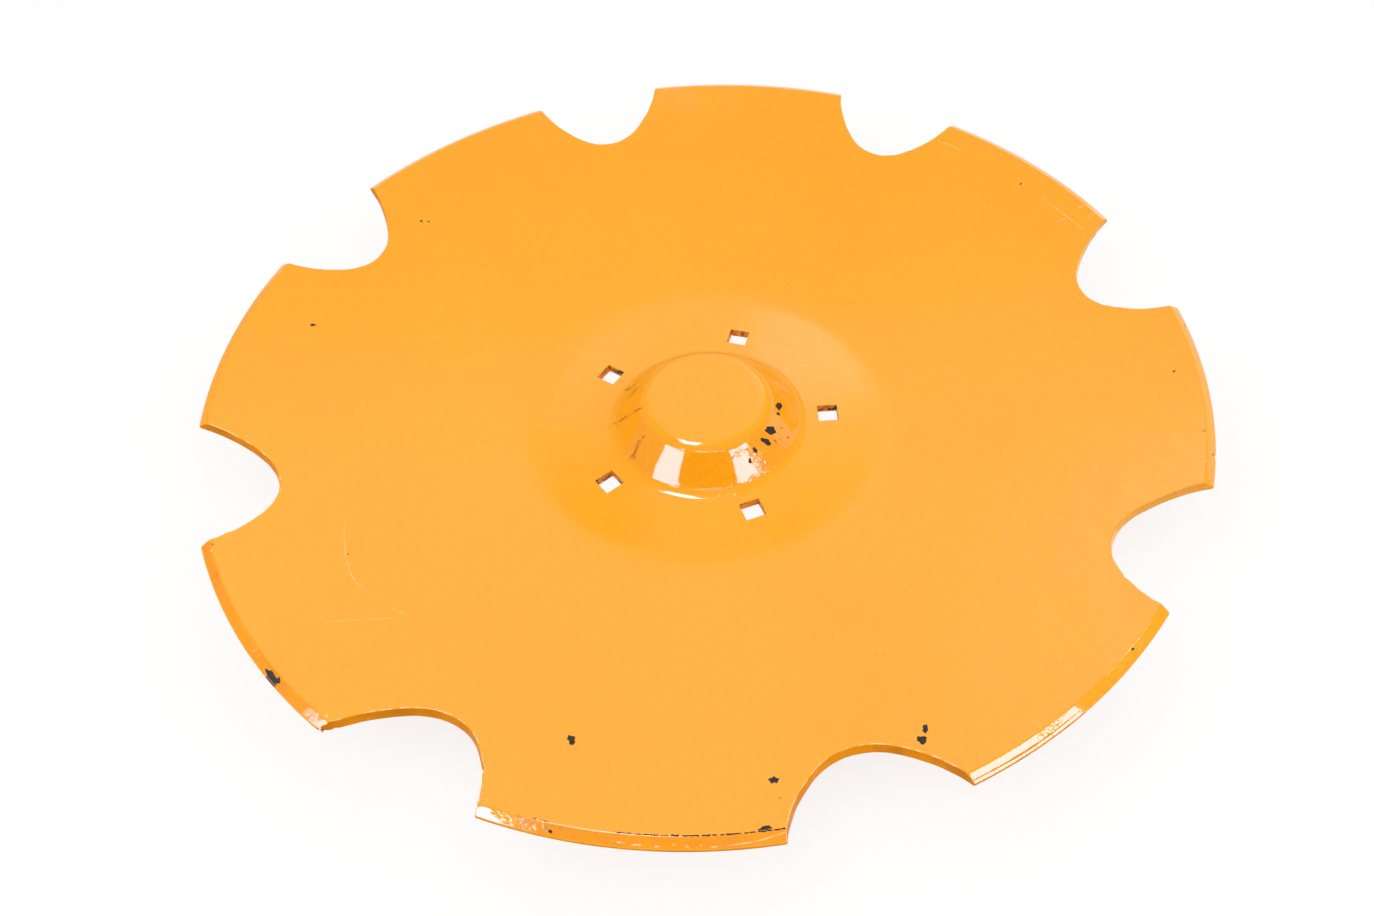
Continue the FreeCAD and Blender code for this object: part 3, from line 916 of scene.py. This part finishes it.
def object_noise(tree, scale, detail=2.0, roughness=0.5):
    """A noise texture in the row frame, with this many features to the metre."""
    place = node(tree, "ShaderNodeTexCoord")
    texture = node(tree, "ShaderNodeTexNoise")
    texture.inputs["Scale"].default_value = scale
    texture.inputs["Detail"].default_value = detail
    texture.inputs["Roughness"].default_value = roughness
    link(tree, place.outputs["Object"], texture.inputs["Vector"])
    return texture.outputs["Fac"]


def new_material(name, values, bumps=()):
    """A new material with these values on its shader, its node tree and the shader. A bump has its
    features to the metre, detail, strength, and depth in metres."""
    material = bpy.data.materials.new(name)
    material.use_nodes = True
    tree = material.node_tree
    shader = tree.nodes["Principled BSDF"]
    for socket, value in values.items():
        shader.inputs[socket].default_value = value
    last = None
    for scale, detail, strength, depth in bumps:
        bump = node(tree, "ShaderNodeBump")
        bump.inputs["Strength"].default_value = strength
        bump.inputs["Distance"].default_value = depth
        link(tree, object_noise(tree, scale, detail), bump.inputs["Height"])
        link(tree, bump.outputs["Normal"], shader.inputs["Normal"])
        if last:
            link(tree, last.outputs["Normal"], bump.inputs["Normal"])
        last = bump
    return material, tree, shader


def ramp(tree, source, stops):
    """A colour ramp over a value: stops are (position, colour)."""
    made = node(tree, "ShaderNodeValToRGB")
    elements = made.color_ramp.elements
    for index, (position, colour) in enumerate(stops):
        element = elements[index] if index < len(elements) else elements.new(position)
        element.position = position
        element.color = (*colour, 1.0)
    link(tree, source, made.inputs["Fac"])
    return made.outputs["Color"]


# The mix node's sockets for colours, which share their names with those for other kinds
MIX_FACTOR, MIX_FIRST, MIX_SECOND = 0, 6, 7
MIX_RESULT = 2


def mix_colours(tree, factor, first, second, blend="MIX"):
    """Two colours mixed by a factor, each a colour, a number or another node's output."""
    made = node(tree, "ShaderNodeMix", data_type="RGBA", blend_type=blend)
    values = {MIX_FACTOR: factor, MIX_FIRST: first, MIX_SECOND: second}
    for number, value in values.items():
        socket = made.inputs[number]
        if isinstance(value, bpy.types.NodeSocket):
            link(tree, value, socket)
        elif isinstance(value, tuple):
            socket.default_value = (*value, 1.0)
        else:
            socket.default_value = value
    return made.outputs[MIX_RESULT]


def eased(tree, source, start, end, low=0.0, high=1.0):
    """A value that goes smoothly from low to high while the source goes from start to end."""
    made = node(tree, "ShaderNodeMapRange", interpolation_type="SMOOTHSTEP")
    limits = {"From Min": start, "From Max": end, "To Min": low, "To Max": high}
    for name, value in limits.items():
        made.inputs[name].default_value = value
    link(tree, source, made.inputs["Value"])
    return made.outputs["Result"]


# Colours, and how strongly the fine grain darkens the paint
ORANGE = (0.95, 0.375, 0.004)
ORANGE_DEEP = (0.93, 0.358, 0.003)
BEVEL_ORANGE = (0.85, 0.275, 0.004)
BEVEL_LIGHT = (0.91, 0.33, 0.004)
BEVEL_BROWN = (0.66, 0.23, 0.012)
EDGE_ORANGE = (0.84, 0.28, 0.002)
EDGE_BROWN = (0.62, 0.20, 0.002)
SCUFF_AND_GLINT_COLOUR = (0.96, 0.66, 0.34)
STAIN_COLOUR = (0.50, 0.17, 0.006)
STEEL_DARK = (0.016, 0.015, 0.012)
STEEL_GREY = (0.050, 0.045, 0.036)
GRAIN_DARK = (0.90, 0.90, 0.90)
GRAIN_LIGHT = (1.0, 1.0, 1.0)
GRAIN_SHARE = 0.8
GLOSS = {"Roughness": 0.06, "IOR": 1.5}


def patchy(name, patches, stops, values, bumps):
    """A material whose colour changes in patches, which are given as for object_noise."""
    material, tree, shader = new_material(name, values, bumps)
    link(tree, ramp(tree, object_noise(tree, *patches), stops), shader.inputs["Base Color"])
    return material


def paint_material():
    """Gloss paint of the faces, with a fine grain and a slight waviness."""
    bumps = [(55.0, 2.0, 0.25, 0.0006), (420.0, 2.0, 0.25, 0.00006)]
    material, tree, shader = new_material("gloss_orange_paint", GLOSS, bumps)
    broad = ramp(tree, object_noise(tree, 7.0, 3.0), [(0.35, ORANGE_DEEP), (0.65, ORANGE)])
    grain = ramp(tree, object_noise(tree, 420.0, 2.0), [(0.3, GRAIN_DARK), (0.7, GRAIN_LIGHT)])
    colour = mix_colours(tree, GRAIN_SHARE, broad, grain, "MULTIPLY")
    link(tree, colour, shader.inputs["Base Color"])
    return material


def bevel_material():
    """Gloss paint over the rougher ground bevel, darker than on the faces and browner in places."""
    stops = [(0.30, BEVEL_BROWN), (0.42, BEVEL_ORANGE), (0.66, BEVEL_LIGHT)]
    values = {"Roughness": 0.08, "IOR": 1.5}
    bumps = [(120.0, 2.0, 0.3, 0.0005), (700.0, 2.0, 0.3, 0.0001)]
    return patchy("orange_paint_on_bevel", (28.0, 4.0, 0.65), stops, values, bumps)


def rippled_material():
    """Gloss paint with runs that break up what it mirrors."""
    values = {"Base Color": (*ORANGE_DEEP, 1), **GLOSS}
    bumps = [(300.0, 2.0, 1.0, 0.00068), (900.0, 1.0, 0.5, 0.00006)]
    return new_material("rippled_orange_paint", values, bumps)[0]


def edge_material():
    """Duller, browner paint on the cut edge, darkened further as painted shade of the dim walls."""
    stops = [(0.36, EDGE_BROWN), (0.60, EDGE_ORANGE)]
    values = {"Roughness": 0.35, "Specular IOR Level": 0.05}
    bumps = [(600.0, 4.0, 0.4, 0.0002)]
    return patchy("dull_paint_and_painted_shade_on_cut_edge", (40.0, 4.0, 0.6), stops, values, bumps)


def raw_material():
    """Thin paint with bare spots on the walls of the holes."""
    stops = [(0.40, STEEL_DARK), (0.45, EDGE_BROWN), (0.52, EDGE_ORANGE), (0.70, ORANGE_DEEP)]
    values = {"Roughness": 0.45, "Specular IOR Level": 0.2}
    bumps = [(900.0, 4.0, 0.6, 0.0002)]
    return patchy("thin_paint_in_hole", (210.0, 4.0, 0.65), stops, values, bumps)


def steel_material():
    """Dark bare steel under the chips."""
    stops = [(0.45, STEEL_DARK), (0.75, STEEL_GREY)]
    values = {"Roughness": 0.7, "Specular IOR Level": 0.25}
    bumps = [(1500.0, 4.0, 0.7, 0.0001)]
    return patchy("dark_bare_steel", (700.0, 4.0, 0.6), stops, values, bumps)


def scuff_and_glint_material():
    """Paint rubbed light and dull. The same pale colour also paints highlights and glints on some edges.
    """
    stops = [(0.40, ORANGE), (0.65, SCUFF_AND_GLINT_COLOUR)]
    bumps = [(1500.0, 3.0, 0.5, 0.0001)]
    return patchy("scuffed_paint_and_painted_glint", (500.0, 3.0), stops, {"Roughness": 0.45}, bumps)


def stain_material():
    """Paint with a brown stain."""
    stops = [(0.44, STAIN_COLOUR), (0.64, ORANGE_DEEP)]
    bumps = [(900.0, 3.0, 0.4, 0.0001)]
    return patchy("brown_stain_on_paint", (350.0, 4.0, 0.6), stops, {"Roughness": 0.25}, bumps)


# Camera, in the row frame: it looks down on the hollow side from beyond a notch. The focal length
# and the optical centre's offset from the middle are in pixels of a picture of this width
CAMERA_PLACE = Vector((-0.27895, -0.39224, 0.54801))
CAMERA_AHEAD = Vector((0.36781, 0.47127, -0.80164))
CAMERA_RIGHT = Vector((0.77039, -0.63722, -0.02115))
PHOTO_WIDTH = 1374
FOCAL_PIXELS = 1101.75
CENTRE_OFFSET = (56.72, 54.56)


def make_camera():
    """The camera that the picture is taken with."""
    data = bpy.data.cameras.new("camera")
    data.lens = data.sensor_width * FOCAL_PIXELS / PHOTO_WIDTH
    data.shift_x = -CENTRE_OFFSET[0] / PHOTO_WIDTH
    data.shift_y = CENTRE_OFFSET[1] / PHOTO_WIDTH
    camera = new_object("camera", data)
    ahead = CAMERA_AHEAD.normalized()
    right = (CAMERA_RIGHT - ahead * CAMERA_RIGHT.dot(ahead)).normalized()
    up = right.cross(ahead)
    turn = Matrix((right, up, -ahead)).transposed().to_4x4()
    camera.matrix_world = Matrix.Translation(CAMERA_PLACE) @ turn
    bpy.context.scene.camera = camera


def toward(azimuth, elevation):
    """The direction of this azimuth and elevation in degrees."""
    a, e = math.radians(azimuth), math.radians(elevation)
    return Vector((math.cos(a) * math.cos(e), math.sin(a) * math.cos(e), math.sin(e)))


def aim(item, azimuth, elevation, distance):
    """Places an item in this direction from the row frame's origin, with its back turned to it."""
    away = toward(azimuth, elevation)
    item.location = away * distance
    item.rotation_mode = "QUATERNION"
    item.rotation_quaternion = away.to_track_quat("Z", "Y")


# Soft rectangular lamps: azimuth and elevation in degrees, distance and size in metres, and how
# bright their face is. The softboxes are only mirrored in the gloss, and the fills only light
SOFTBOXES = {
    "left_softbox": (181.5, 33, 0.68, (0.29, 0.17), 17.0),
    "left_high_softbox": (-173.6, 48.8, 1.71, (0.20, 0.20), 17.0),
    "right_softbox": (-82.5, 33, 0.68, (0.27, 0.19), 17.0),
    "top_softbox": (0, 90, 0.90, (0.39, 0.13), 28.0),
    "front_strip": (-131, 50, 3.0, (2.2, 0.12), 12.0),
    "right_panel": (5, 9, 2.0, (4.4, 1.0), 0.9),
}
FILLS = {
    "left_fill": (168, 48, 2.2, (2.0, 2.0), 1.75),
    "right_fill": (-76, 48, 2.2, (2.0, 2.0), 1.25),
    "top_fill": (54, 80, 2.2, (2.4, 2.4), 0.85),
    "low_fill": (-35, 22, 2.4, (1.8, 1.2), 1.6),
}
# A cool tint, with which the softboxes come out white over the orange
SHINE_COLOUR = (0.68, 0.70, 1.0)
# The top softbox is then moved here, where it hangs level, turned about the vertical
TOP_PLACE = (0.063, 0.313, 0.90)
TOP_TURN = math.radians(38.7)


def add_lamp(name, azimuth, elevation, distance, size, level):
    """A soft lamp aimed at the blade."""
    data = bpy.data.lights.new(name, "AREA")
    data.shape = "RECTANGLE"
    data.size, data.size_y = size
    data.energy = level * math.pi * size[0] * size[1]
    lamp = new_object(name, data)
    aim(lamp, azimuth, elevation, distance)
    lamp.visible_camera = False
    return lamp


def make_lamps():
    """The studio's lamps."""
    for name, settings in SOFTBOXES.items():
        lamp = add_lamp(name, *settings)
        lamp.data.color = SHINE_COLOUR
        lamp.visible_diffuse = False
        if name == "top_softbox":
            lamp.location = TOP_PLACE
            lamp.rotation_mode = "XYZ"
            lamp.rotation_euler = (0, 0, TOP_TURN)
    for name, settings in FILLS.items():
        add_lamp(name, *settings).visible_glossy = False


# The even studio: the direction away from the camera, the sky's brightness at the sides and behind
# the camera, and how far toward the camera it changes, from -1 to 1
BACK_AZIMUTH = 54.6
SIDE_LEVEL = 0.52
FRONT_LEVEL = 0.14
SKY_CHANGE = (-0.75, -0.15)


def make_sky():
    """An even studio, darker on the camera's side."""
    world = bpy.data.worlds.new("studio")
    world.use_nodes = True
    bpy.context.scene.world = world
    tree = world.node_tree
    background = tree.nodes["Background"]
    place = node(tree, "ShaderNodeTexCoord")
    ahead = node(tree, "ShaderNodeVectorMath", operation="DOT_PRODUCT")
    link(tree, place.outputs["Generated"], ahead.inputs[0])
    ahead.inputs[1].default_value = toward(BACK_AZIMUTH, 0)
    level = eased(tree, ahead.outputs["Value"], *SKY_CHANGE, FRONT_LEVEL, SIDE_LEVEL)
    link(tree, level, background.inputs["Color"])
    background.inputs["Strength"].default_value = 1.0


# The bright ceiling that the paint mirrors: its brightness by the distance along it away from the
# camera, for its middle, left and right, and the distances from its middle line between which one
# gives way to the next and its edge fades
CARD_SIZE = 3.0
CARD_TILT = 75.0
CARD_DISTANCE = 1.1
CARD_MIDDLE = [(0.26, 0.74), (0.36, 0.80), (0.45, 1.05), (0.53, 1.22), (0.60, 1.30), (1.0, 1.27)]
CARD_LEFT = [
    (0.28, 0.52), (0.40, 0.78), (0.50, 1.25), (0.56, 1.70), (0.61, 2.50), (0.70, 2.45),
    (0.80, 1.75), (1.0, 1.50),
]
CARD_RIGHT = [(0.30, 0.40), (0.44, 0.52), (0.53, 0.95), (0.62, 1.30), (0.69, 1.62), (0.80, 1.32)]
CARD_BRIGHTEST = 2.5
CARD_TO_LEFT = (0.045, 0.135)
CARD_TO_RIGHT = (-0.06, -0.17)
CARD_EDGE = 0.46
CARD_FADE = 0.16


def make_card():
    """The bright ceiling, which only the gloss sees."""
    bpy.ops.mesh.primitive_plane_add(size=CARD_SIZE)
    card = bpy.context.object
    card.name = "bright_ceiling"
    aim(card, BACK_AZIMUTH, CARD_TILT, CARD_DISTANCE)
    away = toward(BACK_AZIMUTH, CARD_TILT)
    right = toward(BACK_AZIMUTH - 90, 0)
    card.rotation_quaternion = Matrix((right, away.cross(right), away)).transposed().to_quaternion()
    card.visible_camera = False
    card.visible_diffuse = False
    card.visible_shadow = False
    card.visible_transmission = False
    material = bpy.data.materials.new("bright_ceiling")
    material.use_nodes = True
    tree = material.node_tree
    tree.nodes.remove(tree.nodes["Principled BSDF"])
    glow = node(tree, "ShaderNodeEmission")
    glow.inputs["Strength"].default_value = CARD_BRIGHTEST
    place = node(tree, "ShaderNodeTexCoord")
    parts = node(tree, "ShaderNodeSeparateXYZ")
    link(tree, place.outputs["Object"], parts.inputs[0])

    def over(stops):
        greys = [(position, (level / CARD_BRIGHTEST,) * 3) for position, level in stops]
        return ramp(tree, parts.outputs["Y"], greys)

    def beyond(start, end):
        return eased(tree, parts.outputs["X"], start, end)

    colour = mix_colours(tree, beyond(*CARD_TO_LEFT), over(CARD_MIDDLE), over(CARD_LEFT))
    colour = mix_colours(tree, beyond(*CARD_TO_RIGHT), colour, over(CARD_RIGHT))
    dim = (SIDE_LEVEL / CARD_BRIGHTEST,) * 3
    colour = mix_colours(tree, beyond(CARD_EDGE - CARD_FADE, CARD_EDGE), colour, dim)
    colour = mix_colours(tree, beyond(CARD_FADE - CARD_EDGE, -CARD_EDGE), colour, dim)
    link(tree, colour, glow.inputs["Color"])
    link(tree, glow.outputs[0], tree.nodes["Material Output"].inputs["Surface"])
    card.data.materials.append(material)


# The white floor: how much of its own light it adds where it is seen or mirrored
FLOOR_SIZE = 40.0
FLOOR_GAP = 0.2 * MM
FLOOR_WHITE = (0.9, 0.9, 0.9)
FLOOR_OWN_LIGHT = 0.82


def make_floor():
    """A white floor that keeps the blade's shadow."""
    bpy.ops.mesh.primitive_plane_add(size=FLOOR_SIZE, location=(0, 0, cad_low.z - FLOOR_GAP))
    floor = bpy.context.object
    floor.name = "floor"
    values = {"Base Color": (*FLOOR_WHITE, 1), "Roughness": 0.9, "Specular IOR Level": 0.0}
    material, tree, shader = new_material("white_paper", values)
    white = node(tree, "ShaderNodeEmission")
    rays = node(tree, "ShaderNodeLightPath")
    seen = rays.outputs["Is Camera Ray"]
    for name in ("Is Glossy Ray", "Is Transmission Ray"):
        added = node(tree, "ShaderNodeMath", operation="ADD", use_clamp=True)
        link(tree, seen, added.inputs[0])
        link(tree, rays.outputs[name], added.inputs[1])
        seen = added.outputs[0]
    share = node(tree, "ShaderNodeMath", operation="MULTIPLY")
    share.inputs[1].default_value = FLOOR_OWN_LIGHT
    link(tree, seen, share.inputs[0])
    mixed = node(tree, "ShaderNodeMixShader")
    link(tree, share.outputs[0], mixed.inputs[0])
    link(tree, shader.outputs[0], mixed.inputs[1])
    link(tree, white.outputs[0], mixed.inputs[2])
    link(tree, mixed.outputs[0], tree.nodes["Material Output"].inputs["Surface"])
    floor.data.materials.append(material)


make_camera()
make_sky()
make_card()
make_floor()
make_lamps()
blade = make_blade()
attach(blade, "root")
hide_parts("disc_blade")

bpy.context.scene.view_settings.view_transform = "Standard"
